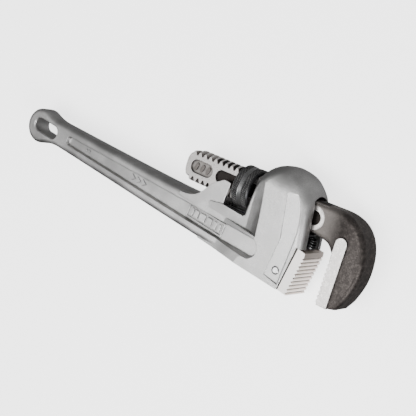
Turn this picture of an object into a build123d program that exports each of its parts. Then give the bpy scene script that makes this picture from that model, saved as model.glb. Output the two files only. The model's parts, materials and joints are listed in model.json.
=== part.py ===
"""Straight pipe wrench, lying on its side, as an assembly of separate pieces.

All sizes are in millimetres. Each piece is drawn in the wrench's own plane, MID:
x runs along the straight spine of the handle towards the head, y runs from the
spine to the top of the housing, and the heel jaw's lower tip is near x = 0, y = 0.
MID is placed so that the assembly's box stands with its bottom centre on the origin.
"""
from build123d import *
import os
from math import radians, tan

# ---- frame ----
KNOB_X, KNOB_Y, KNOB_R = -255.5, 7.6, 13.3      # rounded end of the handle
HOUSING_HALF = 15.5                             # half width of the housing at its widest
HOUSING_TOP = 74.3
JAW_REACH = 39.2                                # how far the hook reaches past the heel jaw
BACK_X = KNOB_X - KNOB_R
BOTTOM_Y = KNOB_Y - KNOB_R
MID = Plane(origin=(-(BACK_X + JAW_REACH) / 2, -(BOTTOM_Y + HOUSING_TOP) / 2, HOUSING_HALF))

# ---- shank of the hook jaw, its thread and the nut ----
SHANK_TILT = 5.5                                # degrees, rising towards the head
SHANK_X, SHANK_Y = -5.7, 51.5                   # a point on the shank's axis, at the hook
THREAD_R, THREAD_ROOT_R = 11.5, 9.5
THREAD_PITCH = 4.6
THREAD_CREST, THREAD_BASE = 1.2, 3.5            # width of a thread at its crest and its root
SHANK_BACK = -107.0
SHANK_HALF = 6.0                                # half thickness between the ground flats
RECESS_HALF, RECESS_DEPTH = 4.7, 1.4            # oval recesses along both flats
NUT_AT = -54.2                                  # nut centre along the shank
NUT_R, NUT_LENGTH, NUT_BORE_R = 14.5, 13.6, 11.9
NUT_THREAD_R = 9.85                             # inner radius of the nut's thread
NUT_THREAD_FROM = NUT_AT - NUT_LENGTH / 2 + 1.7
NUT_THREAD_TURNS = 2.2
THREAD_FROM = NUT_THREAD_FROM - 9.5 * THREAD_PITCH   # half a pitch out of step with the nut's
THREAD_TURNS = 16
SHANK = Plane(MID.location * Location((SHANK_X, SHANK_Y, 0), (0, 0, SHANK_TILT)))
SHANK_AXIS = Plane(origin=SHANK.origin, x_dir=SHANK.y_dir, z_dir=SHANK.x_dir)

# ---- handle ----
GRIP_HALF_END, GRIP_HALF = 8.0, 10.0            # half thickness at the knob and near the head
GRIP_EDGE_R, NECK_R = 3.8, 45.0
REAR_EDGE_R = 1.5
GRIP_INTO_HEAD = -40.0
WINDOW_BACK, WINDOW_FRONT, WINDOW_FLOOR = -70.0, -51.0, 30.0
SCOOP_FOOT = 23.0
# plan sections of the hollow behind each side: height, distance from the middle, x of its corner
SCOOP_SECTIONS = ((SCOOP_FOOT, GRIP_HALF, -46.5), (66.0, 15.4, -49.0))
SHELF = 31.0                                    # height of the shelf over the heel jaw
# plan sections of the housing: height, rear x, front x, half width, corner radius
HOUSING_SECTIONS = (
    (SHELF, WINDOW_FRONT, -1.0, 14.2, 5.0),
    (52.0, WINDOW_FRONT, -5.6, 15.2, 7.0),
    (55.0, -50.9, -6.3, 15.4, 7.8),
    (58.5, -50.5, -7.2, HOUSING_HALF, 8.8),
    (62.0, -49.6, -8.4, 15.0, 9.8),
    (65.0, -48.2, -10.0, 14.0, 10.6),
    (68.0, -45.9, -12.3, 12.3, 10.6),
    (71.0, -41.8, -15.6, 9.4, 8.6),
    (73.2, -36.2, -20.2, 5.4, 5.0),
    (HOUSING_TOP, -30.0, -25.0, 1.4, 1.2),
)
EAR_INNER = 7.2                                 # the ears straddle the shank
PASSAGE_HALF, PASSAGE_R = 8.0, 12.9
SPRING_POCKET_HALF, SPRING_POCKET_FLOOR = 6.6, 27.5
HANG_SLOT_X, HANG_SLOT_LENGTH, HANG_SLOT_WIDTH = -247.3, 25.0, 10.0
WEB_TILT = 0.72                                 # degrees; the web thickens towards the head
WEB_HALF_END = 5.4                              # half thickness of the web at the knob end
RELIEF = 0.7

# ---- heel jaw, its pin and the teeth ----
HEEL_TILT = 4.3                                 # degrees that the heel jaw leans forward
HEEL_TOP = 30.6
HEEL_HALF, HEEL_DEPTH = 12.0, 7.6
TONGUE_HALF, TONGUE_DEPTH, TONGUE_FOOT = 5.0, 13.0, 3.0
PIN_X, PIN_Y, PIN_R, PIN_HALF = -13.0, 10.7, 2.7, 12.9
SEAT_X = -7.3                                   # foot of the heel jaw's seat on the spine
TOOTH_DEPTH = 1.2
HEEL_TEETH, HEEL_PITCH = 10, 2.8
HEEL = Plane(MID.location * Location((SEAT_X, 0, 0), (0, 0, -HEEL_TILT)))
PANEL_DROP, PANEL_LEAN = 0.05, 0.046            # slopes of the panel round the pin, forwards and down

# ---- hook jaw ----
PAD_HALF, PAD_TOP = 11.0, -7.8
NECK_HALF, FORGED_EDGE_R = 7.0, 3.5
FLAT_END_R = 7.9
PAD_FACE, PAD_BACK, PAD_FOOT = 21.7, 29.8, -48.8
HOOK_TEETH, HOOK_PITCH, HOOK_TEETH_TOP = 10, 2.95, -20.2

# ---- springs ----
STRIP_HALF, STRIP_THICKNESS = 5.4, 0.9
STRIP_LOW, STRIP_HIGH = -15.15, -12.15          # top of the flat spring under the nut and at the front
STRIP_SEAT = Plane(origin=SHANK.from_local_coords(Vector(-9.0, STRIP_HIGH, 0)), x_dir=(0, 0, 1),
                   z_dir=SHANK.y_dir)
RIVET_R, RIVET_HEAD_R, RIVET_CAP = 0.9, 1.7, 0.35
COIL_X, COIL_R, COIL_WIRE_R, COIL_TURNS, COIL_TOP = -3.4, 3.4, 0.7, 3.5, 37.9

os.makedirs("parts", exist_ok=True)


def across(x):
    """A plane square to the wrench's length, its local y running up the wrench."""
    return Plane(origin=MID.from_local_coords(Vector(x, 0, 0)), x_dir=(0, 0, -1), z_dir=(1, 0, 0))


def plan(y):
    """A plane square to the wrench's height, with local x along its length."""
    return Plane(origin=MID.from_local_coords(Vector(0, y, 0)), x_dir=(1, 0, 0), z_dir=(0, 1, 0))


def local(shape, plane=MID):
    """Centre of a face or edge, measured in a plane's own coordinates."""
    return plane.to_local_coords(shape.center())


def finish(piece, name):
    """Label a piece and write it to its own file."""
    piece.label = name
    export_step(piece, f"parts/{name}.step")


def thread(start, turns, root_r, crest_r, root_width, crest_width):
    """A right-hand helical rib round the shank's axis, from a place along the shank."""
    with BuildPart() as rib:
        with BuildLine() as path:
            Helix(THREAD_PITCH, turns * THREAD_PITCH, root_r)
        with BuildSketch(Plane(origin=(root_r, 0, 0), x_dir=(1, 0, 0), z_dir=(0, 1, 0))):
            with BuildLine():
                Polyline((0, -root_width / 2), (crest_r - root_r, -crest_width / 2),
                         (crest_r - root_r, crest_width / 2), (0, root_width / 2), close=True)
            make_face()
        sweep(path=path.line, is_frenet=True)
    return rib.part.moved(SHANK_AXIS.location * Location((0, 0, start)))


# ---------------------------------------------------------------- handle
with BuildPart() as grip:
    with BuildSketch(MID) as side:
        with BuildLine():
            top = Spline((GRIP_INTO_HEAD, 29.0), (-70.0, 29.0), (-95.0, 25.4), (-115.0, 23.6),
                         (-150.0, 21.8), (-185.0, 20.3), (-235.0, 18.3), tangents=((-1, 0), (-1, -0.04)))
            Polyline(top @ 1, (-250, 17.7), (-250, 0), (GRIP_INTO_HEAD, 0), top @ 0)
        make_face()
        with Locations((KNOB_X, KNOB_Y)):
            Circle(KNOB_R)
        necks = side.vertices().filter_by(lambda v: KNOB_X + 3 < v.X < KNOB_X + KNOB_R)
        fillet(necks, radius=NECK_R)
    extrude(amount=GRIP_HALF + 2, both=True)
    for sign in (1, -1):
        with BuildSketch(plan(BOTTOM_Y - 1)):
            with BuildLine():
                swell = Spline((-280, sign * GRIP_HALF_END), (-226, sign * GRIP_HALF_END),
                               (-185, sign * 8.5), (-150, sign * 9.1), (-110, sign * 9.8),
                               (-74, sign * GRIP_HALF), (GRIP_INTO_HEAD + 1, sign * GRIP_HALF))
                Polyline(swell @ 1, (GRIP_INTO_HEAD + 1, sign * 25), (-280, sign * 25), swell @ 0)
            make_face()
        extrude(amount=60, mode=Mode.SUBTRACT)
    long_edges = grip.edges().filter_by(lambda e: local(e).X < GRIP_INTO_HEAD - 1 and abs(local(e).Z) > 7)
    fillet(long_edges, radius=GRIP_EDGE_R)

with BuildPart() as head:
    # foot of the head: the spine, the heel jaw's seat and the shelf over it
    with BuildSketch(MID):
        with BuildLine():
            seat_top_x = SEAT_X + SHELF * tan(radians(HEEL_TILT))
            Polyline((-80, 0), (SEAT_X, 0), (seat_top_x, SHELF), (WINDOW_FRONT, SHELF),
                     (WINDOW_FRONT, WINDOW_FLOOR), (WINDOW_BACK, WINDOW_FLOOR), (-80, 27.5), (-80, 0))
        make_face()
    extrude(amount=HOUSING_HALF, both=True)
    with BuildSketch(across(-90)):
        Polygon((-14.2, SHELF), (-12.3, -10), (12.3, -10), (14.2, SHELF), align=None)
    extrude(amount=100, mode=Mode.INTERSECT)

    # housing: plan sections that lean back, widen and close over the shank as a dome
    for sections, straight in ((HOUSING_SECTIONS[:2], True), (HOUSING_SECTIONS[1:], False)):
        with BuildPart(mode=Mode.PRIVATE) as storey:
            for height, rear, front, half, corner in sections:
                with BuildSketch(plan(height)):
                    with Locations(((rear + front) / 2, 0)):
                        RectangleRounded(front - rear, 2 * half, corner)
            loft(ruled=straight)
        add(storey.part)

    # the head grows out of the grip, under the housing's hollowed rear corners
    for sign in (1, -1):
        with BuildSketch(plan(BOTTOM_Y - 1)):
            with BuildLine():
                run_out = Spline((-80, sign * 9.0), (-36, sign * 13.6), tangents=((1, 0), (1, sign * 0.08)))
                Polyline(run_out @ 1, (-36, sign * 25), (-80, sign * 25), run_out @ 0)
            make_face()
        extrude(amount=SCOOP_FOOT - BOTTOM_Y + 1, mode=Mode.SUBTRACT)
        # each hollow runs out towards the top of the dome
        with BuildPart(mode=Mode.PRIVATE) as scoop:
            for height, inner, corner_x in SCOOP_SECTIONS:
                with BuildSketch(plan(height)):
                    with BuildLine():
                        Line((-80, sign * inner), (corner_x, sign * inner))
                        hollow = ThreePointArc((corner_x, sign * inner), (corner_x + 8.0, sign * (inner + 2.0)),
                                               (corner_x + 13.6, sign * (inner + 6.2)))
                        Polyline(hollow @ 1, (corner_x + 13.6, sign * 28), (-80, sign * 28), (-80, sign * inner))
                    make_face()
            loft(ruled=True)
        add(scoop.part, mode=Mode.SUBTRACT)
    rear_rims = head.edges().filter_by(
        lambda e: local(e).X < -46.5 and 33 < local(e).Y < 64 and abs(local(e).Z) > 9.5 and e.length > 3)
    fillet(rear_rims, radius=REAR_EDGE_R)

with BuildPart() as passage:
    # the way through for the shank: an arch over two straight walls
    with BuildSketch(SHANK_AXIS):
        Circle(PASSAGE_R)
        Rectangle(60, 2 * PASSAGE_HALF, mode=Mode.INTERSECT)
        with Locations((-15, 0)):
            Rectangle(30, 2 * PASSAGE_HALF)
    extrude(amount=-70)
    extrude(passage.faces().sort_by(Axis.X)[-1], amount=20)
    split(bisect_by=plan(SHELF), keep=Keep.TOP)

# the sloping panel round the heel jaw's pin, as a cutter with a flared wall
PANEL = Plane(origin=MID.from_local_coords(Vector(-22, 34, 14.05)),
              x_dir=(1, 0, -PANEL_DROP), z_dir=(PANEL_DROP, -PANEL_LEAN, 1))
with BuildPart() as panel:
    with BuildSketch(PANEL):
        with BuildLine():
            Polyline((13.6, -1), (13.4, -30.4), (2.6, -29.4), (4.4, -3), (-3.6, 29.4), (-2.4, 30.2),
                     (1.2, 30.0), (4.4, 28.2), (7.6, 24.4), (10.2, 19.2), (12.2, 12.4), (13.3, 5.6),
                     (13.6, -1))
        make_face()
    extrude(amount=4, taper=-38)

with BuildPart() as handle:
    add(grip.part)
    add(head.part)
    for sign in (1, -1):
        with BuildSketch(MID.offset(sign * EAR_INNER)):
            with BuildLine():
                ear = Spline((-106, 22.5), (-97, 24.2), (-91.5, 27.5), (-87.5, 32.5), (-83, 39),
                             (-77, 43.8), (-72, 45), tangents=((1, 0.02), (1, 0)))
                Polyline(ear @ 1, (WINDOW_BACK, 44.7), (WINDOW_BACK, 20), (-106, 20), ear @ 0)
            make_face()
        extrude(amount=sign * (GRIP_HALF - EAR_INNER))
    add(passage.part, mode=Mode.SUBTRACT)

    # pocket under the shank for the flat spring, open towards the heel jaw
    with BuildSketch(MID):
        with BuildLine():
            Polyline((-80, 29.0), (-62, SPRING_POCKET_FLOOR), (-12, SPRING_POCKET_FLOOR), (-12, 40),
                     (-100, 40), (-100, 26.4), close=True)
        make_face()
    extrude(amount=SPRING_POCKET_HALF, both=True, mode=Mode.SUBTRACT)

    # hang slot through the knob
    with BuildSketch(MID):
        with Locations((HANG_SLOT_X, KNOB_Y + 1.0)):
            SlotOverall(HANG_SLOT_LENGTH, HANG_SLOT_WIDTH)
    extrude(amount=GRIP_HALF, both=True, mode=Mode.SUBTRACT)
    slot_rims = handle.edges().filter_by(
        lambda e: abs(local(e).X - HANG_SLOT_X) < 14 and abs(local(e).Y - KNOB_Y) < 6
        and abs(abs(local(e).Z) - GRIP_HALF_END) < 0.2)
    chamfer(slot_rims, length=0.8)

    # long recess in each side, leaving a web, with plain raised ornaments on its floor
    for sign in (1, -1):
        web = Plane(MID.location * Location((-222, 0, sign * WEB_HALF_END), (0, -sign * WEB_TILT, 0)))
        with BuildSketch(web) as recess:
            with BuildLine():
                Polyline((0.5, 12.4), (0.5, 7.0), (160, 7.6), (186, 8.6), (189.5, 12), (189.5, 17),
                         (186, 19.6), (132, 17.6), (62, 14.8), (0.5, 12.4))
            make_face()
            fillet(recess.vertices().filter_by(lambda v: v.X > 180), radius=3.0)
            fillet(recess.vertices().filter_by(lambda v: v.X < 10), radius=1.4)
        extrude(amount=sign * 8, taper=-18, mode=Mode.SUBTRACT)

        with BuildSketch(web.offset(-sign * 0.2)):
            with Locations((142.5, 13.2)):
                Rectangle(33, 9.6)
                Rectangle(31.2, 7.8, mode=Mode.SUBTRACT)
            for shift, width in ((-12.5, 2.2), (-8.5, 3.4), (-3.0, 5.2), (3.4, 4.2), (8.6, 2.6), (12.6, 2.2)):
                with Locations((142.5 + shift, 13.2)):
                    Rectangle(width, 5.2)
            with Locations((70.5, 11.6), (76.0, 11.8), (81.5, 12.0)):
                RegularPolygon(2.6, 3)
            with Locations((19.6, 10.2), (22.8, 10.4)):
                Circle(1.0)
        extrude(amount=sign * (RELIEF + 0.2))

    # sloping panel round the heel jaw's pin, dropping towards the front
    add(panel.part, mode=Mode.SUBTRACT)
    mirror(panel.part, about=MID, mode=Mode.SUBTRACT)

    # slot for the heel jaw's tongue, and the hole for its pin
    with BuildSketch(HEEL):
        with BuildLine():
            Polyline((5, TONGUE_FOOT - 0.1), (-TONGUE_DEPTH - 0.1, TONGUE_FOOT - 0.1),
                     (-TONGUE_DEPTH - 0.1, HEEL_TOP - 2), (5, HEEL_TOP - 2), close=True)
        make_face()
    extrude(amount=TONGUE_HALF + 0.1, both=True, mode=Mode.SUBTRACT)
    with BuildSketch(MID):
        with Locations((PIN_X, PIN_Y)):
            Circle(PIN_R + 0.04)
    extrude(amount=HOUSING_HALF, both=True, mode=Mode.SUBTRACT)
finish(handle.part, "handle")


# ---------------------------------------------------------------- heel jaw and its pin
with BuildPart() as heel_jaw:
    with BuildSketch(HEEL):
        with BuildLine():
            Polyline((0.2, 0.3), (HEEL_DEPTH, 0.3), (HEEL_DEPTH, HEEL_TOP - 4), (HEEL_DEPTH - 1.1, HEEL_TOP),
                     (0.2, HEEL_TOP), close=True)
        make_face()
        for tooth in range(HEEL_TEETH):
            foot = 1.0 + tooth * HEEL_PITCH
            with BuildLine():
                Polyline((HEEL_DEPTH + 0.1, foot - 0.1), (HEEL_DEPTH - TOOTH_DEPTH, foot + 0.45),
                         (HEEL_DEPTH + 0.1, foot + 1.7), close=True)
            make_face(mode=Mode.SUBTRACT)
    extrude(amount=HEEL_HALF, both=True)
    chamfer(heel_jaw.edges().filter_by(
        lambda e: abs(abs(local(e).Z) - HEEL_HALF) < 0.01 and local(e, HEEL).X < 1), length=0.4)
    with BuildSketch(HEEL):
        with Locations(((0.4 - TONGUE_DEPTH) / 2, (TONGUE_FOOT + HEEL_TOP - 2.2) / 2)):
            Rectangle(TONGUE_DEPTH + 0.4, HEEL_TOP - 2.2 - TONGUE_FOOT)
    extrude(amount=TONGUE_HALF, both=True)
    with BuildSketch(MID):
        with Locations((PIN_X, PIN_Y)):
            Circle(PIN_R + 0.04)
    extrude(amount=HEEL_HALF, both=True, mode=Mode.SUBTRACT)
finish(heel_jaw.part, "heel_jaw")

with BuildPart() as heel_jaw_pin:
    with BuildSketch(MID):
        with Locations((PIN_X, PIN_Y)):
            Circle(PIN_R)
    extrude(amount=PIN_HALF, both=True)
    fillet(heel_jaw_pin.edges().filter_by(GeomType.CIRCLE), radius=1.0)
finish(heel_jaw_pin.part, "heel_jaw_pin")


# ---------------------------------------------------------------- hook jaw
SHANK_PLAN = Plane(origin=SHANK.origin, x_dir=SHANK.x_dir, z_dir=SHANK.y_dir)
with BuildPart() as hook_head:
    # side outline of the forged hook: flat top, round back, foot and throat
    with BuildSketch(SHANK):
        with BuildLine():
            Polyline((-4, -9.4), (-4, 10.9), (16, 11.1))
            back = Spline((16, 11.1), (23, 10.3), (30.8, 7.1), (37.2, 1.2), (41.4, -7.0), (43.3, -18),
                          (42.3, -30), (39.2, -39.5), (34.6, -47.6), tangents=((1, 0), (-0.62, -1)))
            Polyline(back @ 1, (PAD_BACK - 3, PAD_FOOT), (PAD_FACE + 2, PAD_FOOT), (PAD_FACE + 2, -22))
            Spline((PAD_FACE + 2, -22), (19.6, -16.4), (15.5, -12.4), (8, -10.4), (-4, -9.4),
                   tangents=((0, 1), (-1, 0)))
        make_face()
    extrude(amount=PAD_HALF, both=True)
    # plan view: the forging thickens from the shank to the hook
    for sign in (1, -1):
        with BuildSketch(SHANK_PLAN):
            with BuildLine():
                flank = Spline((-6, sign * NECK_HALF), (8, sign * NECK_HALF), (19, sign * 8.3),
                               (27, sign * 9.8), (38, sign * 9.8), (50, sign * 8.2))
                Polyline(flank @ 1, (50, sign * 15), (-6, sign * 15), flank @ 0)
            make_face()
        extrude(amount=60, both=True, mode=Mode.SUBTRACT)
    flank_edges = hook_head.edges().filter_by(
        lambda e: abs(local(e, SHANK).Z) > NECK_HALF - 0.5 and e.length > 9.5
        and (local(e, SHANK).Y > 8 or local(e, SHANK).X > 32 or -20 < local(e, SHANK).Y < -8)
        and local(e, SHANK).X > -3)
    fillet(flank_edges, radius=FORGED_EDGE_R)

with BuildPart() as hook_jaw:
    # threaded shank between two flats, rounded off at its rear end
    with BuildSketch(SHANK_AXIS.offset(SHANK_BACK)):
        Circle(THREAD_ROOT_R)
    extrude(amount=-SHANK_BACK)
    add(thread(THREAD_FROM, THREAD_TURNS, THREAD_ROOT_R - 0.4, THREAD_R, THREAD_BASE + 0.4, THREAD_CREST))
    with BuildSketch(SHANK) as blade:
        with Locations((SHANK_BACK / 2, 0)):
            Rectangle(-SHANK_BACK, 2 * THREAD_R)
        fillet(blade.vertices().filter_by(lambda v: v.X < SHANK_BACK / 2), radius=9.5)
    extrude(amount=SHANK_HALF, both=True, mode=Mode.INTERSECT)
    add(hook_head.part)

    # toothed pad across the hook
    with BuildSketch(SHANK):
        with BuildLine():
            Polyline((PAD_FACE, PAD_TOP), (PAD_FACE, PAD_FOOT + 1), (PAD_FACE + 1, PAD_FOOT),
                     (PAD_BACK, PAD_FOOT), (PAD_BACK, PAD_TOP))
            ThreePointArc((PAD_BACK, PAD_TOP), ((PAD_FACE + PAD_BACK) / 2, PAD_TOP + (PAD_BACK - PAD_FACE) / 2),
                          (PAD_FACE, PAD_TOP))
        make_face()
        for tooth in range(HOOK_TEETH):
            top = HOOK_TEETH_TOP - tooth * HOOK_PITCH
            with BuildLine():
                Polyline((PAD_FACE - 0.1, top), (PAD_FACE + TOOTH_DEPTH, top - 1.4),
                         (PAD_FACE - 0.1, top - 1.9), close=True)
            make_face(mode=Mode.SUBTRACT)
    extrude(amount=PAD_HALF, both=True)

    for sign in (1, -1):
        # ground flat that ends in a half circle on the forged neck
        with BuildSketch(SHANK.offset(sign * SHANK_HALF)):
            with Locations((-16, 0)):
                SlotOverall(32 + 2 * FLAT_END_R, 2 * FLAT_END_R)
        extrude(amount=sign * 4, mode=Mode.SUBTRACT)
        # a short and a long recess along the flat
        with BuildSketch(SHANK.offset(sign * SHANK_HALF)):
            for start, end in ((-103.0, -84.0), (-81.0, RECESS_HALF)):
                with Locations(((start + end) / 2, 0)):
                    SlotOverall(end - start, 2 * RECESS_HALF)
        extrude(amount=-sign * RECESS_DEPTH, mode=Mode.SUBTRACT)
        # plain raised bars in the short recess
        with BuildSketch(SHANK.offset(sign * (SHANK_HALF - RECESS_DEPTH - 0.1))):
            for bar_x in (-98.6, -93.5, -88.4):
                with Locations((bar_x, 0)):
                    SlotOverall(5.4, 2.4, rotation=70)
        extrude(amount=sign * (RELIEF + 0.2))
finish(hook_jaw.part, "hook_jaw")


# ---------------------------------------------------------------- adjusting nut
with BuildPart() as adjusting_nut:
    with BuildSketch(SHANK_AXIS.offset(NUT_AT - NUT_LENGTH / 2)):
        Circle(NUT_R)
        Circle(NUT_BORE_R, mode=Mode.SUBTRACT)
    extrude(amount=NUT_LENGTH)
    rims = adjusting_nut.edges().filter_by(lambda e: e.geom_type == GeomType.CIRCLE and e.radius > NUT_R - 0.1)
    chamfer(rims, length=1.1)
    add(thread(NUT_THREAD_FROM, NUT_THREAD_TURNS, NUT_BORE_R + 0.4, NUT_THREAD_R, 3.3, 0.6))
finish(adjusting_nut.part, "adjusting_nut")


# ---------------------------------------------------------------- springs under the shank
with BuildPart() as flat_spring:
    with BuildSketch(SHANK):
        with BuildLine():
            Polyline((-68, STRIP_LOW), (-46, STRIP_LOW), (-38, STRIP_HIGH), (-0.5, STRIP_HIGH),
                     (-0.5, STRIP_HIGH - STRIP_THICKNESS), (-37.7, STRIP_HIGH - STRIP_THICKNESS),
                     (-45.7, STRIP_LOW - STRIP_THICKNESS), (-68, STRIP_LOW - STRIP_THICKNESS), close=True)
        make_face()
    extrude(amount=STRIP_HALF, both=True)
    with BuildSketch(STRIP_SEAT):
        Circle(RIVET_R + 0.05)
    extrude(amount=4, both=True, mode=Mode.SUBTRACT)
finish(flat_spring.part, "flat_spring")

with BuildPart() as spring_rivet:
    with BuildSketch(STRIP_SEAT.offset(RIVET_CAP)):
        Circle(RIVET_HEAD_R)
    extrude(amount=-RIVET_CAP)
    with BuildSketch(STRIP_SEAT):
        Circle(RIVET_R)
    extrude(amount=-STRIP_THICKNESS)
    with BuildSketch(STRIP_SEAT.offset(-STRIP_THICKNESS)):
        Circle(RIVET_HEAD_R)
    extrude(amount=-1.5)
finish(spring_rivet.part, "spring_rivet")

coil_foot = HEEL_TOP + 0.7 + COIL_WIRE_R
coil_pitch = (COIL_TOP - COIL_WIRE_R - coil_foot) / COIL_TURNS
with BuildPart() as coil_spring:
    with BuildLine():
        wire = Helix(coil_pitch, coil_pitch * COIL_TURNS, COIL_R)
    with BuildSketch(Plane(origin=(COIL_R, 0, 0), x_dir=(1, 0, 0), z_dir=(0, 1, 0))):
        Circle(COIL_WIRE_R)
    sweep(path=wire, is_frenet=True)
upright = Plane(origin=MID.from_local_coords(Vector(COIL_X, coil_foot, 0)), x_dir=(1, 0, 0), z_dir=(0, 1, 0))
finish(coil_spring.part.moved(upright.location), "coil_spring")
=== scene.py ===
import json
import logging
import math
from dataclasses import dataclass, field
from enum import Enum

import bpy
import numpy as np
from mathutils import Matrix, Vector

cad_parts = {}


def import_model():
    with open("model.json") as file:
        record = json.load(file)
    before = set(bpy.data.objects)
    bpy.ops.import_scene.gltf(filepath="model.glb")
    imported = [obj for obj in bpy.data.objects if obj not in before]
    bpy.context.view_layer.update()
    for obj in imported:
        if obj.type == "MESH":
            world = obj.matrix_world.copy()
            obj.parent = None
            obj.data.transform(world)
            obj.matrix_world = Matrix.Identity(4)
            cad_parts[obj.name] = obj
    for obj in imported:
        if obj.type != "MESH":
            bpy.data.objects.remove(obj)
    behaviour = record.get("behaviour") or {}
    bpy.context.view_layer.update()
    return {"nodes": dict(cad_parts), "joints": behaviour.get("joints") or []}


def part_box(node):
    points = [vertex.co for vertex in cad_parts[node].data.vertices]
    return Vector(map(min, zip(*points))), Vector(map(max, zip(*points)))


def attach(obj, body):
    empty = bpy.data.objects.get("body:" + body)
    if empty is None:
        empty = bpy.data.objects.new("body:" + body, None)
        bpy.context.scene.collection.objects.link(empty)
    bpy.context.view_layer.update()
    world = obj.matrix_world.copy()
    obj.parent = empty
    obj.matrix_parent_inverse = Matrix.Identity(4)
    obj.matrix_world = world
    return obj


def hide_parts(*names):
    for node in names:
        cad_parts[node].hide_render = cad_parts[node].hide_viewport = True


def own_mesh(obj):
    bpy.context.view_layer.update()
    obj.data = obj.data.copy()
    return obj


"""Looks of a straight pipe wrench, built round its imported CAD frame.

The wrench lies on its side: +X runs along the handle to the head, +Y from the handle's
straight spine to the top of the housing, +Z up. Lengths in this file are millimetres
until they meet a mesh or a socket, where MM turns them into metres.
"""

MM = 0.001
log = logging.getLogger("pipe_wrench")
Colour = tuple[float, float, float]
Socket = bpy.types.NodeSocket


class Side(Enum):
    """Which way the light falls on the work."""

    OVERHEAD = "overhead"
    HEAD = "head"


# ------------------------------------------------------------------ node trees


class Recipe:
    """A node tree under construction, with short calls for the nodes this file needs."""

    def __init__(self, tree: bpy.types.NodeTree) -> None:
        """Keep the tree that the calls add to.

        Args:
            tree: a material's or a node group's tree.
        """
        self.tree = tree

    def node(self, kind: str, values: dict | None = None, **settings: object) -> bpy.types.Node:
        """Add a node, set its properties, and fill or link its inputs.

        Args:
            kind: the node's type without its ShaderNode prefix.
            values: what goes into each input, by name or number: a socket, or a constant.
            settings: properties of the node itself.

        Returns:
            The new node.
        """
        made = self.tree.nodes.new("ShaderNode" + kind)
        for name, value in settings.items():
            setattr(made, name, value)
        for key, value in (values or {}).items():
            if isinstance(value, bpy.types.NodeSocket):
                self.tree.links.new(value, made.inputs[key])
            else:
                made.inputs[key].default_value = value
        return made

    def maths(self, operation: str, *values: "Socket | float") -> Socket:
        """One Math node; returns its value."""
        return self.node("Math", dict(enumerate(values)), operation=operation).outputs[0]

    def blend(self, amount: "Socket | float", first: object, second: object) -> Socket:
        """Mix two colours, each a socket or an RGB triple; returns the colour."""
        made = self.node("Mix", data_type="RGBA")
        for socket, value in ((made.inputs[0], amount), (made.inputs[6], first), (made.inputs[7], second)):
            if isinstance(value, bpy.types.NodeSocket):
                self.tree.links.new(value, socket)
            else:
                socket.default_value = (*value, 1.0) if isinstance(value, tuple) else value
        return made.outputs[2]

    def noise(self, where: Socket, size_mm: float, detail: float = 3.0, rough: float = 0.5) -> Socket:
        """Fractal noise whose blobs are about size_mm across; returns a value round 0.5."""
        return self.node("TexNoise", {"Vector": where, "Scale": 1.0 / (size_mm * MM), "Detail": detail,
                                      "Roughness": rough}).outputs["Fac"]

    def ramp(self, value: Socket, low: float, high: float, to_low: float = 0.0,
             to_high: float = 1.0) -> Socket:
        """Spread the stretch low to high smoothly over to_low to to_high; returns the value."""
        return self.node("MapRange", {"Value": value, "From Min": low, "From Max": high, "To Min": to_low,
                                      "To Max": to_high}, interpolation_type="SMOOTHSTEP").outputs[0]

    def inside(self, value: Socket, low: float, high: float, soft: float) -> Socket:
        """A band mask: 1 between low and high, falling to 0 over soft outside it."""
        rising = self.ramp(value, low - soft, low)
        falling = self.ramp(value, high, high + soft, 1.0, 0.0)
        return self.maths("MULTIPLY", rising, falling)

    def place(self, group: bpy.types.NodeTree, values: dict) -> bpy.types.Node:
        """Put a shared node group into this tree with its own values."""
        made = self.tree.nodes.new("ShaderNodeGroup")
        made.node_tree = group
        for key, value in values.items():
            if isinstance(value, bpy.types.NodeSocket):
                self.tree.links.new(value, made.inputs[key])
            else:
                made.inputs[key].default_value = value
        return made


def new_group(name: str, inputs: dict[str, tuple[str, float]], outputs: dict[str, str]) -> tuple:
    """Start a shared shader node group.

    Args:
        name: the group's name.
        inputs: each input's socket kind and default value.
        outputs: each output's socket kind.

    Returns:
        The group, a Recipe on it, its input node and its output node.
    """
    group = bpy.data.node_groups.new(name, "ShaderNodeTree")
    for label, (kind, default) in inputs.items():
        socket = group.interface.new_socket(label, in_out="INPUT", socket_type="NodeSocket" + kind)
        if kind == "Float":
            socket.default_value = default
    for label, kind in outputs.items():
        group.interface.new_socket(label, in_out="OUTPUT", socket_type="NodeSocket" + kind)
    recipe = Recipe(group)
    entry = group.nodes.new("NodeGroupInput")
    leave = group.nodes.new("NodeGroupOutput")
    return group, recipe, entry, leave


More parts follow.
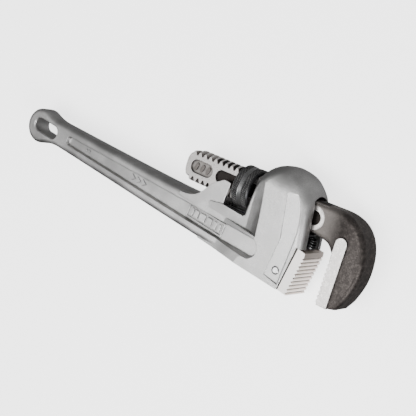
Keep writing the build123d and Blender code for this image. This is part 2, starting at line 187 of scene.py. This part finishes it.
class SharedEffects:
    """Effects that several finishes share, each one node group."""

    def __init__(self) -> None:
        """Build every group once."""
        self.grain = self._grain()
        self.rubbed_edge = self._rubbed_edge()
        # painted corner shade with some dirt
        self.grime_and_shade = self._grime_and_shade()

    @staticmethod
    def _grain() -> bpy.types.NodeTree:
        """Surface grain at two sizes: a fine pitting and a broad unevenness.

        Returns:
            A group that gives a height, a broad tone and a fine speckle.
        """
        group, recipe, entry, leave = new_group(
            "surface_grain",
            {"Vector": ("Vector", 0.0), "Fine Scale": ("Float", 1500.0), "Broad Scale": ("Float", 60.0),
             "Fine Share": ("Float", 0.5)},
            {"Height": "Float", "Tone": "Float", "Speckle": "Float"})
        fine = recipe.node("TexNoise", {"Vector": entry.outputs["Vector"], "Detail": 2.0, "Roughness": 0.6,
                                        "Scale": entry.outputs["Fine Scale"]}).outputs["Fac"]
        broad = recipe.node("TexNoise", {"Vector": entry.outputs["Vector"], "Detail": 4.0, "Roughness": 0.55,
                                         "Scale": entry.outputs["Broad Scale"]}).outputs["Fac"]
        share = entry.outputs["Fine Share"]
        height = recipe.maths("ADD", recipe.maths("MULTIPLY", fine, share),
                              recipe.maths("MULTIPLY", broad, recipe.maths("SUBTRACT", 1.0, share)))
        speckle = recipe.ramp(fine, 0.38, 0.66)
        tone = recipe.ramp(broad, 0.34, 0.66)
        for label, value in (("Height", height), ("Tone", tone), ("Speckle", speckle)):
            group.links.new(value, leave.inputs[label])
        return group

    @staticmethod
    def _rubbed_edge() -> bpy.types.NodeTree:
        """Where hands and pipes rub: the normal of a slightly rounded copy leaves the true one.

        Returns:
            A group that gives an edge mask and the rounded normal.
        """
        group, recipe, entry, leave = new_group(
            "rubbed_edge",
            {"Vector": ("Vector", 0.0), "Width": ("Float", 0.0005), "Amount": ("Float", 1.0)},
            {"Mask": "Float", "Normal": "Vector"})
        rounded = recipe.node("Bevel", {"Radius": entry.outputs["Width"]}, samples=4).outputs["Normal"]
        true = recipe.node("NewGeometry").outputs["Normal"]
        along = recipe.node("VectorMath", {0: rounded, 1: true}, operation="DOT_PRODUCT").outputs["Value"]
        bend = recipe.ramp(along, 0.995, 0.9)
        broken = recipe.ramp(recipe.noise(entry.outputs["Vector"], 2.2, 4.0, 0.7), 0.36, 0.62)
        mask = recipe.maths("MULTIPLY", recipe.maths("MULTIPLY", bend, broken), entry.outputs["Amount"])
        group.links.new(mask, leave.inputs["Mask"])
        group.links.new(rounded, leave.inputs["Normal"])
        return group

    @staticmethod
    def _grime_and_shade() -> bpy.types.NodeTree:
        """Painted shade with some dark dirt: darkening that gathers in corners and recesses, where ambient
        occlusion finds them.

        Returns:
            A group that gives a mask, 1 deep in a corner.
        """
        group, recipe, entry, leave = new_group(
            "corner_grime_and_shade",
            {"Vector": ("Vector", 0.0), "Reach": ("Float", 0.003), "Amount": ("Float", 1.0)},
            {"Mask": "Float"})
        open_sky = recipe.node("AmbientOcclusion", {"Distance": entry.outputs["Reach"]},
                               samples=6).outputs["AO"]
        corner = recipe.ramp(open_sky, 0.95, 0.5)
        patchy = recipe.ramp(recipe.noise(entry.outputs["Vector"], 4.0, 4.0), 0.25, 0.6, 0.45, 1.0)
        mask = recipe.maths("MULTIPLY", recipe.maths("MULTIPLY", corner, patchy), entry.outputs["Amount"])
        group.links.new(mask, leave.inputs["Mask"])
        return group


# ------------------------------------------------------------------ finishes


@dataclass(frozen=True)
class Metal:
    """One metal finish: colours, gloss, grain and wear.

    The bright and dark colours are the two ends of its broad tone; worn is the rubbed edge.
    """

    name: str
    bright: Colour
    dark: Colour
    worn: Colour
    # painted shade with some dirt: the colour that corners and recesses darken to
    grime_and_shade: Colour
    metallic: float
    rough_low: float
    rough_high: float
    fine_mm: float = 0.6
    broad_mm: float = 16.0
    fine_share: float = 0.5
    bump_mm: float = 0.03
    edge_mm: float = 0.4
    edge_amount: float = 1.0
    # reach and strength of the painted corner shade and dirt
    grime_and_shade_mm: float = 3.0
    grime_and_shade_amount: float = 0.6
    speckle: float = 0.2


# the fifth colour of each finish is its painted corner shade, with some dirt
CAST_ALUMINIUM = Metal("cast_aluminium", (0.64, 0.635, 0.63), (0.46, 0.457, 0.452), (0.82, 0.82, 0.815),
                       (0.07, 0.068, 0.066), 1.0, 0.33, 0.5, fine_mm=0.7, broad_mm=18.0, bump_mm=0.13,
                       edge_mm=0.5, edge_amount=0.8, grime_and_shade_mm=1.5, grime_and_shade_amount=0.95, speckle=0.6)
GROUND_STEEL = Metal("ground_steel", (0.66, 0.635, 0.615), (0.56, 0.535, 0.515), (0.8, 0.78, 0.77),
                     (0.055, 0.045, 0.04), 1.0, 0.3, 0.42, fine_mm=0.3, broad_mm=9.0, bump_mm=0.008,
                     edge_mm=0.15, grime_and_shade_mm=0.9, grime_and_shade_amount=0.8, speckle=0.15)
FORGED_STEEL = Metal("forged_steel", (0.080, 0.070, 0.065), (0.034, 0.029, 0.027), (0.26, 0.24, 0.23),
                     (0.010, 0.009, 0.008), 0.8, 0.36, 0.56, fine_mm=0.75, broad_mm=2.6, fine_share=0.72,
                     bump_mm=0.16, edge_mm=0.45, edge_amount=0.8, grime_and_shade_mm=2.0, grime_and_shade_amount=0.85,
                     speckle=0.6)
BLACK_STEEL = Metal("black_steel", (0.045, 0.045, 0.047), (0.022, 0.022, 0.024), (0.22, 0.22, 0.225),
                    (0.005, 0.005, 0.005), 0.85, 0.24, 0.4, fine_mm=0.4, broad_mm=5.0, bump_mm=0.006,
                    edge_mm=0.05, edge_amount=0.2, grime_and_shade_mm=0.5, grime_and_shade_amount=0.9, speckle=0.2)
SPRING_STEEL = Metal("spring_steel", (0.09, 0.09, 0.092), (0.045, 0.045, 0.047), (0.35, 0.35, 0.35),
                     (0.008, 0.008, 0.008), 0.9, 0.18, 0.34, fine_mm=0.3, broad_mm=6.0, bump_mm=0.006,
                     edge_mm=0.12, grime_and_shade_mm=0.9)
POLISHED_STEEL = Metal("polished_steel", (0.46, 0.46, 0.465), (0.34, 0.34, 0.345), (0.8, 0.8, 0.8),
                       (0.05, 0.05, 0.05), 1.0, 0.06, 0.16, fine_mm=0.4, broad_mm=2.0, bump_mm=0.004,
                       edge_mm=0.1, grime_and_shade_mm=0.8, grime_and_shade_amount=0.7, speckle=0.05)


# painted highlight: the lit tooth faces, near white
TOOTH_FACE_HIGHLIGHT: Colour = (0.97, 0.88, 0.82)
HEEL_CROWN: Colour = (0.3, 0.26, 0.235)
FORGED_NECK: Colour = (0.24, 0.22, 0.205)
RECESS_SHADE: Colour = (0.022, 0.018, 0.016)
RECESS_PLATE: Colour = (0.30, 0.28, 0.265)
GROUND_DULL: Colour = (0.50, 0.475, 0.46)
GROUND_BRIGHT: Colour = (0.66, 0.64, 0.625)
KNURL_POINT: Colour = (0.22, 0.217, 0.213)
NUT_BAND: Colour = (0.2, 0.2, 0.202)


@dataclass
class Surface:
    """What a finish works on while its material is being mixed."""

    recipe: Recipe
    where: Socket
    colour: Socket
    roughness: Socket
    height: Socket
    metallic: "Socket | float"


class MetalShop:
    """Mixes a material for each metal finish."""

    def __init__(self, effects: SharedEffects) -> None:
        """Keep the shared effects.

        Args:
            effects: the node groups that every finish uses.
        """
        self.effects = effects

    def begin(self, metal: Metal) -> tuple[bpy.types.Material, Surface]:
        """Start a material: broad tone, speckle and grain, before masks and wear.

        Args:
            metal: the finish.

        Returns:
            The material and its surface so far.
        """
        material = bpy.data.materials.new(metal.name)
        material.use_nodes = True
        material.node_tree.nodes.clear()
        recipe = Recipe(material.node_tree)
        where = recipe.node("TexCoord").outputs["Object"]
        grain = recipe.place(self.effects.grain, {
            "Vector": where, "Fine Scale": 1.0 / (metal.fine_mm * MM),
            "Broad Scale": 1.0 / (metal.broad_mm * MM), "Fine Share": metal.fine_share})
        tone = grain.outputs["Tone"]
        colour = recipe.blend(tone, metal.dark, metal.bright)
        pits = recipe.maths("MULTIPLY", grain.outputs["Speckle"], metal.speckle)
        colour = recipe.blend(pits, colour, metal.dark)
        roughness = recipe.ramp(grain.outputs["Height"], 0.35, 0.65, metal.rough_low, metal.rough_high)
        return material, Surface(recipe, where, colour, roughness, grain.outputs["Height"], metal.metallic)

    def finish(self, metal: Metal, material: bpy.types.Material, surface: Surface,
               extra_grime_and_shade: Socket | None = None) -> bpy.types.Material:
        """Add dirt with painted corner shade, and rubbed edges, and close the material.

        Args:
            metal: the finish.
            material: the material from begin.
            surface: its surface, with any masks worked in.
            extra_grime_and_shade: further dirt and painted shade, where the piece has a place of its own for
                it.

        Returns:
            The finished material.
        """
        recipe = surface.recipe
        # painted shade with some dirt: corners and recesses darken by an ambient-occlusion mask
        grime_and_shade = recipe.place(self.effects.grime_and_shade, {"Vector": surface.where, "Reach": metal.grime_and_shade_mm * MM,
                                                  "Amount": metal.grime_and_shade_amount}).outputs["Mask"]
        if extra_grime_and_shade is not None:
            grime_and_shade = recipe.maths("MAXIMUM", grime_and_shade, extra_grime_and_shade)
        edge = recipe.place(self.effects.rubbed_edge, {"Vector": surface.where, "Width": metal.edge_mm * MM,
                                                       "Amount": metal.edge_amount})
        worn = edge.outputs["Mask"]
        colour = recipe.blend(grime_and_shade, surface.colour, metal.grime_and_shade)
        colour = recipe.blend(worn, colour, metal.worn)
        roughness = recipe.maths("ADD", surface.roughness, recipe.maths("MULTIPLY", grime_and_shade, 0.25))
        roughness = recipe.maths("SUBTRACT", roughness, recipe.maths("MULTIPLY", worn, 0.08))
        bump = recipe.node("Bump", {"Height": surface.height, "Distance": metal.bump_mm * MM,
                                    "Strength": 1.0, "Normal": edge.outputs["Normal"]}).outputs["Normal"]
        shader = recipe.node("BsdfPrincipled", {"Base Color": colour, "Metallic": surface.metallic,
                                                "Roughness": roughness, "Normal": bump})
        closing = recipe.tree.nodes.new("ShaderNodeOutputMaterial")
        recipe.tree.links.new(shader.outputs["BSDF"], closing.inputs["Surface"])
        return material

    def plain(self, metal: Metal) -> bpy.types.Material:
        """A finish with no place of its own on the piece."""
        material, surface = self.begin(metal)
        return self.finish(metal, material, surface)


def dress(piece: bpy.types.Object, material: bpy.types.Material) -> None:
    """Give a piece one material in place of whatever it carries."""
    piece.data.materials.clear()
    piece.data.materials.append(material)
    log.info("dressed %s in %s", piece.name, material.name)


# ------------------------------------------------------------------ the wrench


@dataclass
class ShankFrame:
    """The hook jaw's axis: its origin is the nut's centre, along it runs the shank."""

    origin: np.ndarray
    along: np.ndarray

    @classmethod
    def from_joints(cls, joints: list[dict]) -> "ShankFrame":
        """Read the axis from the joints that the nut and the shank share.

        Args:
            joints: the frame's joints.

        Returns:
            The axis through the nut.
        """
        spin = next(joint for joint in joints if joint["name"] == "nut_spin")
        along = np.array(spin["axis"], float)
        return cls(np.array(spin["pos_m"], float), along / np.linalg.norm(along))

    @property
    def up(self) -> np.ndarray:
        """Across the shank, in the wrench's plane."""
        return np.array([-self.along[1], self.along[0], 0.0])

    @property
    def tilt(self) -> float:
        """Angle of the shank above the handle's spine, in radians."""
        return math.atan2(self.along[1], self.along[0])

    def place(self, along: np.ndarray, up: np.ndarray, out: np.ndarray) -> np.ndarray:
        """Turn lengths along, up and out of the shank's frame into points of the wrench.

        Args:
            along: distances along the shank, in metres.
            up: distances across it, in the wrench's plane.
            out: distances through its thickness.

        Returns:
            Points, three to a row.
        """
        flat = along[..., None] * self.along + up[..., None] * self.up
        return self.origin + flat + out[..., None] * np.array([0.0, 0.0, 1.0])

    def read(self, recipe: Recipe, where: Socket) -> tuple[Socket, Socket, Socket]:
        """Object coordinates turned into millimetres along, up and out of the shank.

        Args:
            recipe: the tree to add to.
            where: the Object coordinates.

        Returns:
            Three sockets.
        """
        turned = recipe.node("Mapping", {"Vector": where, "Location": tuple(self.origin),
                                         "Rotation": (0.0, 0.0, self.tilt), "Scale": (MM, MM, MM)},
                             vector_type="TEXTURE").outputs[0]
        axes = recipe.node("SeparateXYZ", {0: turned}).outputs
        return axes[0], axes[1], axes[2]


def closed_grid(name: str, points: np.ndarray, wrap_rows: bool, wrap_columns: bool) -> bpy.types.Object:
    """A mesh of quads on a grid of points.

    Quad (i, j) joins points (i, j), (i, j+1), (i+1, j+1) and (i+1, j); a wrapped direction
    joins its last line to its first.

    Args:
        name: the object's name.
        points: rows by columns by three, in metres.
        wrap_rows: the rows close on themselves.
        wrap_columns: the columns close on themselves.

    Returns:
        The new object, linked to the scene and shaded smooth.
    """
    rows, columns = points.shape[:2]
    index = np.arange(rows * columns).reshape(rows, columns)
    below = np.roll(index, -1, axis=0) if wrap_rows else index[1:]
    here = index if wrap_rows else index[:-1]
    if wrap_columns:
        beside, far = np.roll(here, -1, axis=1), np.roll(below, -1, axis=1)
    else:
        here, beside = here[:, :-1], here[:, 1:]
        below, far = below[:, :-1], below[:, 1:]
    quads = np.stack([here, beside, far, below], axis=-1).reshape(-1, 4)
    mesh = bpy.data.meshes.new(name)
    mesh.from_pydata(points.reshape(-1, 3), [], quads.tolist())
    mesh.polygons.foreach_set("use_smooth", np.ones(len(quads), bool))
    mesh.update()
    made = bpy.data.objects.new(name, mesh)
    bpy.context.scene.collection.objects.link(made)
    return made


@dataclass
class Handle:
    """The aluminium casting: grip, ears, window and housing."""

    shop: MetalShop

    def build(self, nodes: dict[str, bpy.types.Object]) -> None:
        """Dress the casting.

        Args:
            nodes: the frame's CAD nodes.
        """
        dress(nodes["handle"], self.shop.plain(CAST_ALUMINIUM))


@dataclass
class HeelJaw:
    """The toothed insert and its pin."""

    shop: MetalShop
    foot: tuple[float, float] = (107.5, -34.3)
    tilt_degrees: float = 4.3
    depth: float = 7.6
    tooth_depth: float = 1.2
    top: float = 30.6

    def build(self, nodes: dict[str, bpy.types.Object]) -> None:
        """Dress the jaw, with painted shade in its gullets and a painted highlight on its tooth faces, and
        the pin.

        Args:
            nodes: the frame's CAD nodes.
        """
        material, surface = self.shop.begin(GROUND_STEEL)
        recipe = surface.recipe
        turned = recipe.node("Mapping", {"Vector": surface.where,
                                         "Location": (self.foot[0] * MM, self.foot[1] * MM, 0.0),
                                         "Rotation": (0.0, 0.0, -math.radians(self.tilt_degrees)),
                                         "Scale": (MM, MM, MM)}, vector_type="TEXTURE").outputs[0]
        axes = recipe.node("SeparateXYZ", {0: turned}).outputs
        # painted shade with some dirt: the gullets between the teeth are darkened, handed to finish as extra
        # dirt and shade
        gullet_shade = recipe.ramp(axes[0], self.depth - 0.8, self.depth - 1.02)
        front = recipe.ramp(axes[0], self.depth - 1.6, self.depth - 1.3)
        toothed = recipe.ramp(axes[1], self.top - 3.6, self.top - 4.0)
        facing = recipe.node("SeparateXYZ", {0: recipe.node("NewGeometry").outputs["Normal"]}).outputs[2]
        not_side = recipe.ramp(recipe.maths("ABSOLUTE", facing), 0.9, 0.6)
        dark = recipe.maths("MULTIPLY", recipe.maths("MULTIPLY", gullet_shade, front),
                            recipe.maths("MULTIPLY", toothed, not_side))
        crown = recipe.maths("MULTIPLY", recipe.ramp(axes[1], self.top - 3.9, self.top - 3.4), not_side)
        # painted highlight: faces other than the sides at the toothed front turn near white
        faced_highlight = recipe.maths("MULTIPLY", recipe.ramp(axes[0], self.depth - 1.6, self.depth - 1.3), not_side)
        surface.colour = recipe.blend(faced_highlight, surface.colour, TOOTH_FACE_HIGHLIGHT)
        surface.colour = recipe.blend(crown, surface.colour, HEEL_CROWN)
        # faces other than the sides lose most of their metal, so the painted highlight stays flat and bright
        surface.metallic = recipe.maths("SUBTRACT", 1.0, recipe.maths("MULTIPLY", not_side, 0.9))
        dress(nodes["heel_jaw"], self.shop.finish(GROUND_STEEL, material, surface,
                                                  recipe.maths("MULTIPLY", dark, 0.95)))
        dress(nodes["heel_jaw_pin"], self.shop.plain(POLISHED_STEEL))


@dataclass
class HookJaw:
    """The forged hook: dark skin, bright where it is ground or rubbed."""

    shop: MetalShop
    shank: ShankFrame
    nut_to_hook: float = 54.2
    pad_half: float = 11.0
    pad: tuple[float, float] = (21.7, 29.8)
    flat_half: float = 6.0
    flat_end: float = 7.9
    thread_radius: float = 11.5
    short_recess: float = -84.0

    def build(self, nodes: dict[str, bpy.types.Object]) -> None:
        """Dress the forging: scale, ground flats, ground pad and rubbed thread crests.

        Args:
            nodes: the frame's CAD nodes.
        """
        material, surface = self.shop.begin(FORGED_STEEL)
        recipe = surface.recipe
        along, up, out = self.shank.read(recipe, surface.where)
        along = recipe.maths("SUBTRACT", along, self.nut_to_hook)
        out = recipe.maths("ABSOLUTE", out)
        pad = recipe.maths("MULTIPLY", recipe.inside(along, self.pad[0] - 0.5, self.pad[1] + 0.05, 0.1),
                           recipe.ramp(out, self.pad_half - 0.35, self.pad_half - 0.15))
        flat = recipe.maths("MULTIPLY",
                            recipe.inside(out, self.flat_half - 0.04, self.flat_half + 0.04, 0.03),
                            recipe.ramp(along, self.flat_end + 0.1, self.flat_end))
        radius = recipe.maths("SQRT", recipe.maths("ADD", recipe.maths("MULTIPLY", up, up),
                                                   recipe.maths("MULTIPLY", out, out)))
        crest = recipe.maths("MULTIPLY",
                             recipe.ramp(radius, self.thread_radius - 0.5, self.thread_radius - 0.1),
                             recipe.ramp(along, -12.0, -22.0))
        face = recipe.maths("MULTIPLY", recipe.ramp(along, self.pad[0] + 0.4, self.pad[0] + 0.1),
                            recipe.ramp(up, -17.0, -19.0))
        ground = recipe.maths("MAXIMUM", recipe.maths("MAXIMUM", pad, flat),
                              recipe.maths("MAXIMUM", face, crest))
        neck = recipe.ramp(along, 24.0, 10.0)
        surface.colour = recipe.blend(recipe.maths("MULTIPLY", neck, 0.6), surface.colour, FORGED_NECK)
        floor = recipe.maths("MULTIPLY", recipe.ramp(out, self.flat_half - 0.6, self.flat_half - 1.2),
                             recipe.ramp(along, self.flat_end, self.flat_end - 0.5))
        plate = recipe.maths("MULTIPLY", floor,
                             recipe.ramp(along, self.short_recess + 0.6, self.short_recess))
        surface.colour = recipe.blend(floor, surface.colour, RECESS_SHADE)
        surface.colour = recipe.blend(plate, surface.colour, RECESS_PLATE)
        scratch = recipe.noise(surface.where, 0.5, 5.0, 0.7)
        bright = recipe.blend(recipe.ramp(scratch, 0.3, 0.7), GROUND_DULL, GROUND_BRIGHT)
        surface.colour = recipe.blend(ground, surface.colour, bright)
        keep = recipe.maths("SUBTRACT", 1.0, recipe.maths("MULTIPLY", ground, 0.93))
        surface.height = recipe.maths("MULTIPLY", surface.height, keep)
        surface.roughness = recipe.maths("SUBTRACT", surface.roughness, recipe.maths("MULTIPLY", ground, 0.1))
        dress(nodes["hook_jaw"], self.shop.finish(FORGED_STEEL, material, surface))


@dataclass
class AdjustingNut:
    """The knurled ring: two bands of diamonds, a smooth band between, a thread inside."""

    shop: MetalShop
    shank: ShankFrame
    radius: float = 14.5
    length: float = 13.6
    bore: float = 11.9
    thread_tip: float = 9.85
    pitch: float = 4.6
    thread_start: float = -5.1
    thread_turns: float = 2.2
    band: float = 3.4
    chamfer: float = 1.1
    diamonds: int = 60
    knurl_pitch: float = 1.5
    knurl_depth: float = 0.46
    around: int = 648

    def profile(self) -> tuple[np.ndarray, np.ndarray, np.ndarray, np.ndarray]:
        """The ring's section, once round: outside, front face, bore and rear face.

        Returns:
            Distance along, radius, a knurl mask and a thread mask for each point.
        """
        half, groove = self.length / 2, self.band / 2
        lap = self.radius - self.chamfer
        runs = [
            ((-half, lap), (-half + self.chamfer, self.radius), 4, 0, 0),
            ((-half + self.chamfer, self.radius), (-groove, self.radius), 34, 1, 0),
            ((-groove, self.radius - 0.15), (-groove + 0.35, self.radius - 0.5), 3, 0, 0),
            ((-groove + 0.45, self.radius - 0.52), (groove - 0.45, self.radius - 0.52), 6, 0, 0),
            ((groove - 0.35, self.radius - 0.5), (groove, self.radius - 0.15), 3, 0, 0),
            ((groove, self.radius), (half - self.chamfer, self.radius), 34, 1, 0),
            ((half - self.chamfer, self.radius), (half, lap), 4, 0, 0),
            ((half, lap - 0.1), (half, self.bore + 0.1), 4, 0, 0),
            ((half, self.bore), (-half, self.bore), 44, 0, 1),
            ((-half, self.bore + 0.1), (-half, lap - 0.1), 4, 0, 0),
        ]
        along = np.concatenate([np.linspace(a[0], b[0], n) for a, b, n, _, _ in runs])
        radius = np.concatenate([np.linspace(a[1], b[1], n) for a, b, n, _, _ in runs])
        knurl = np.concatenate([np.full(n, float(k)) for _, _, n, k, _ in runs])
        thread = np.concatenate([np.full(n, float(t)) for _, _, n, _, t in runs])
        return along, radius, knurl, thread

    def build(self) -> bpy.types.Object:
        """Work out the ring's surface and dress it.

        A point's radius is the section's radius, less the knurl depth times the deeper of two
        crossed families of V grooves that wind round the ring both ways, less the thread's
        height where the point lies on the helical rib: a trapezoid of the distance to it.

        Returns:
            The nut.
        """
        along, radius, knurl, thread = (part[None, :] for part in self.profile())
        turn = np.linspace(0.0, 2 * np.pi, self.around, endpoint=False)[:, None]
        lead = along / self.knurl_pitch
        count = self.diamonds * turn / (2 * np.pi)
        groove = np.maximum(self._valley(count + lead), self._valley(count - lead))
        radius = radius - knurl * self.knurl_depth * groove
        wound = (along - self.thread_start) / self.pitch - turn / (2 * np.pi)
        nearest = np.clip(np.round(wound), 0, None)
        place = self.thread_start + self.pitch * (nearest + turn / (2 * np.pi))
        last = self.thread_start + self.thread_turns * self.pitch
        away = np.abs(along - np.clip(place, self.thread_start, last))
        rib = np.clip((1.55 - away) / 1.25, 0.0, 1.0)
        radius = radius - thread * rib * (self.bore - self.thread_tip)
        zeros = np.zeros_like(radius)
        points = self.shank.place((along + zeros) * MM, radius * np.cos(turn) * MM,
                                  radius * np.sin(turn) * MM)
        nut = closed_grid("adjusting_nut_knurled", points, True, True)
        flip_if_inward(nut)
        dress(nut, self._finish())
        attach(nut, "nut")
        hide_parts("adjusting_nut")
        return nut

    def _finish(self) -> bpy.types.Material:
        """Black oxide, rubbed grey on the knurl's points and smooth in the middle band."""
        material, surface = self.shop.begin(BLACK_STEEL)
        recipe = surface.recipe
        along, up, out = self.shank.read(recipe, surface.where)
        radius = recipe.maths("SQRT", recipe.maths("ADD", recipe.maths("MULTIPLY", up, up),
                                                   recipe.maths("MULTIPLY", out, out)))
        point = recipe.ramp(radius, self.radius - 0.3, self.radius - 0.05)
        band = recipe.inside(along, -self.band / 2 + 0.2, self.band / 2 - 0.2, 0.2)
        band = recipe.maths("MULTIPLY", band, recipe.ramp(radius, self.radius - 1.0, self.radius - 0.8))
        surface.colour = recipe.blend(recipe.maths("MULTIPLY", point, 0.9), surface.colour, KNURL_POINT)
        surface.colour = recipe.blend(band, surface.colour, NUT_BAND)
        return self.shop.finish(BLACK_STEEL, material, surface)

    @staticmethod
    def _valley(count: np.ndarray) -> np.ndarray:
        """A row of V grooves: 1 at whole numbers, falling evenly to 0 half way between."""
        return np.clip(1.0 - 2.6 * np.abs(count - np.round(count)), 0.0, 1.0)


def flip_if_inward(piece: bpy.types.Object) -> None:
    """Turn a closed mesh's faces outwards: its signed volume, the sum of corner tetrahedra, is positive."""
    mesh = piece.data
    mesh.calc_loop_triangles()
    corners = np.empty(len(mesh.loop_triangles) * 3, np.int32)
    mesh.loop_triangles.foreach_get("vertices", corners)
    points = np.empty(len(mesh.vertices) * 3)
    mesh.vertices.foreach_get("co", points)
    a, b, c = points.reshape(-1, 3)[corners.reshape(-1, 3)].transpose(1, 0, 2)
    if np.einsum("ij,ij->i", a, np.cross(b, c)).sum() < 0:
        mesh.flip_normals()


@dataclass
class Springs:
    """The strip under the shank, its rivet, and the coil at the front."""

    shop: MetalShop
    turns: float = 5.0
    wire: float = 0.62
    narrowing: float = 0.36
    squashed: float = 0.3
    steps: int = 260
    ring: int = 14
    material: bpy.types.Material = field(init=False)

    def build(self, nodes: dict[str, bpy.types.Object]) -> bpy.types.Object:
        """Dress the strip and the rivet, and wind the coil in the CAD coil's place.

        Args:
            nodes: the frame's CAD nodes.

        Returns:
            The coil.
        """
        self.material = self.shop.plain(SPRING_STEEL)
        dress(nodes["flat_spring"], self.material)
        dress(nodes["spring_rivet"], self.material)
        return self._coil()

    def _coil(self) -> bpy.types.Object:
        """A coil whose pitch closes up at both ends, so that the end turns lie flat.

        The wire's centre is at the mean radius, narrowing over the last turns under the
        strip, at a height that eases in and out along the turns; its surface is a circle
        carried square to that line.

        Returns:
            The coil.
        """
        low, high = (np.array(corner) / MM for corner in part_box("coil_spring"))
        middle = (low + high) / 2
        share = np.linspace(0.0, 1.0, self.steps)
        mean = (high[0] - low[0]) / 2 - self.wire
        mean = mean * (1.0 - self.narrowing * np.clip(2.0 * share - 1.0, 0.0, 1.0))
        eased = share - 0.11 * np.sin(2 * np.pi * share)
        turn = 2 * np.pi * self.turns * share
        height = low[1] + self.wire + eased * (high[1] - low[1] - 2 * self.wire)
        line = np.stack([middle[0] + mean * np.cos(turn), height, middle[2] + mean * np.sin(turn)], axis=1)
        ahead = np.gradient(line, axis=0)
        ahead /= np.linalg.norm(ahead, axis=1, keepdims=True)
        outward = np.stack([np.cos(turn), np.zeros_like(turn), np.sin(turn)], axis=1)
        across = np.cross(ahead, outward)
        angle = np.linspace(0.0, 2 * np.pi, self.ring, endpoint=False)
        rounds = (outward[:, None] * np.cos(angle)[None, :, None]
                  + across[:, None] * np.sin(angle)[None, :, None]) * self.wire
        taper = np.ones(self.steps)
        taper[[0, -1]] = 0.02
        points = (line[:, None] + rounds * taper[:, None, None]) * MM
        coil = closed_grid("coil_spring_wire", points, False, True)
        flip_if_inward(coil)
        dress(coil, self.material)
        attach(coil, "handle")
        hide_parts("coil_spring")
        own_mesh(coil)
        return coil


# ------------------------------------------------------------------ studio


@dataclass
class Studio:
    """Pale floor, soft light and the camera."""

    eye: tuple[float, float, float] = (371.65, 149.34, 536.47)
    target: tuple[float, float, float] = (18.47, -20.23, 0.0)
    camera_up: tuple[float, float, float] = (-0.4396, 0.8982, 0.0055)
    lens: float = 81.6
    floor_half: float = 4000.0
    floor_colour: Colour = (0.96, 0.96, 0.96)
    floor_glow: float = 2.4

    def build(self) -> None:
        """Lay the floor, hang the lights and set up the camera."""
        self._floor()
        self._sky()
        self._lamp("key_light", Side.OVERHEAD, (-80, -220, 900), 600, 6.0)
        self._lamp("head_light", Side.HEAD, (700, -300, 520), 300, 5.0)
        self._camera()

    def _floor(self) -> None:
        """A flat square under the wrench."""
        half = self.floor_half * MM
        corners = [(-half, -half, 0), (half, -half, 0), (half, half, 0), (-half, half, 0)]
        mesh = bpy.data.meshes.new("floor")
        mesh.from_pydata(corners, [], [(0, 1, 2, 3)])
        floor = bpy.data.objects.new("floor", mesh)
        bpy.context.scene.collection.objects.link(floor)
        floor.visible_glossy = False
        material = bpy.data.materials.new("floor_paper")
        material.use_nodes = True
        shader = material.node_tree.nodes["Principled BSDF"]
        shader.inputs["Base Color"].default_value = (*self.floor_colour, 1.0)
        shader.inputs["Roughness"].default_value = 0.9
        shader.inputs["Emission Color"].default_value = (1.0, 1.0, 1.0, 1.0)
        shader.inputs["Emission Strength"].default_value = self.floor_glow
        mesh.materials.append(material)

    def _sky(self) -> None:
        """A pale surround, brightest overhead and darkest low behind the spine."""
        world = bpy.data.worlds.new("surround")
        world.use_nodes = True
        recipe = Recipe(world.node_tree)
        world.node_tree.nodes.clear()
        facing = recipe.node("SeparateXYZ", {0: recipe.node("TexCoord").outputs["Generated"]}).outputs
        above = recipe.ramp(facing[2], 0.28, 0.85, 0.0, 0.72)
        around = recipe.maths("MULTIPLY", recipe.ramp(facing[1], -0.5, 0.7, 0.16, 0.42),
                              recipe.ramp(facing[0], -0.8, 0.2, 0.4, 1.0))
        level = recipe.maths("MAXIMUM", above, around)
        background = recipe.node("Background", {"Color": (1.0, 1.0, 1.0, 1.0), "Strength": level})
        output = world.node_tree.nodes.new("ShaderNodeOutputWorld")
        world.node_tree.links.new(background.outputs[0], output.inputs["Surface"])
        bpy.context.scene.world = world

    def _lamp(self, name: str, side: Side, where: tuple[float, float, float], size: float,
              power: float) -> None:
        """A square soft light aimed at the wrench's head.

        Args:
            name: the light's name.
            side: where it hangs.
            where: its place in millimetres.
            size: its edge in millimetres.
            power: its power in watts.
        """
        data = bpy.data.lights.new(f"{name}_{side.value}", "AREA")
        data.size = size * MM
        data.energy = power
        lamp = bpy.data.objects.new(name, data)
        lamp.location = Vector(where) * MM
        aim = Vector((40, 0, 0)) * MM - lamp.location
        lamp.rotation_euler = aim.to_track_quat("-Z", "Y").to_euler()
        bpy.context.scene.collection.objects.link(lamp)

    def _camera(self) -> None:
        """The camera looks from the eye to the target, with its own up direction."""
        data = bpy.data.cameras.new("camera")
        data.lens = self.lens
        data.sensor_width = 36.0
        data.clip_end = 20.0
        camera = bpy.data.objects.new("camera", data)
        eye, target = Vector(self.eye) * MM, Vector(self.target) * MM
        back = (eye - target).normalized()
        right = Vector(self.camera_up).cross(back).normalized()
        up = back.cross(right)
        turn = Matrix((right, up, back)).transposed().to_4x4()
        camera.matrix_world = Matrix.Translation(eye) @ turn
        bpy.context.scene.collection.objects.link(camera)
        bpy.context.scene.camera = camera


def main() -> None:
    """Load the frame, dress and build each piece in turn, and light the scene."""
    logging.basicConfig(level=logging.INFO)
    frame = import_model()
    nodes = frame["nodes"]
    shop = MetalShop(SharedEffects())
    shank = ShankFrame.from_joints(frame["joints"])
    Handle(shop).build(nodes)
    HeelJaw(shop).build(nodes)
    HookJaw(shop, shank).build(nodes)
    nut = AdjustingNut(shop, shank).build()
    log.info("%s has %d faces", nut.name, len(nut.data.polygons))
    coil = Springs(shop).build(nodes)
    log.info("%s has %d faces", coil.name, len(coil.data.polygons))
    Studio().build()


if __name__ == "__main__":
    main()
